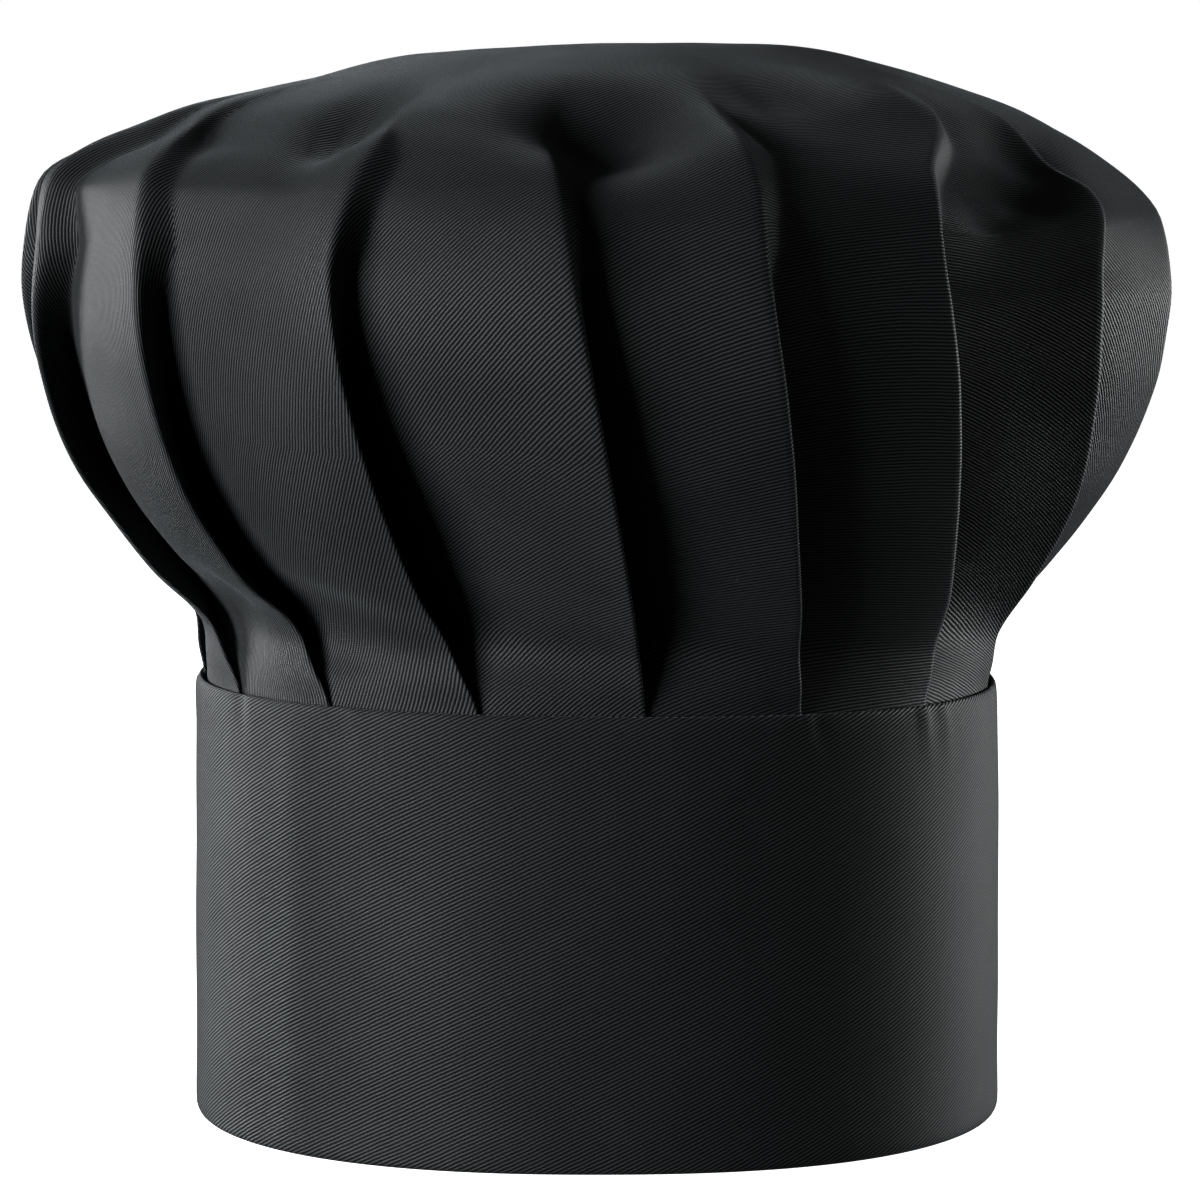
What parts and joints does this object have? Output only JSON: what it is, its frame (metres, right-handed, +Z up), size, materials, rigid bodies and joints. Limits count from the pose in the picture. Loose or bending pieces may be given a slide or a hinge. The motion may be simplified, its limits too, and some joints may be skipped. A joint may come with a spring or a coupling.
{
  "type": "chef cap",
  "caption": "Soft cloth chef's cap: a full crown laid in knife pleats, set into a plain high headband that it stands on.",
  "frame": {"origin": "middle of the level rim that the cap stands on", "axes": "+Z up through the crown, -Y towards the front, +X to the wearer's left, which is the right as seen from the front"},
  "size_m": [0.2729, 0.2727, 0.2508],
  "materials": {
    "twill": "black twill, matt with a faint sheen"
  },
  "bodies": {
    "root": {"crown": "twill", "band": "twill"}
  },
  "joints": []
}
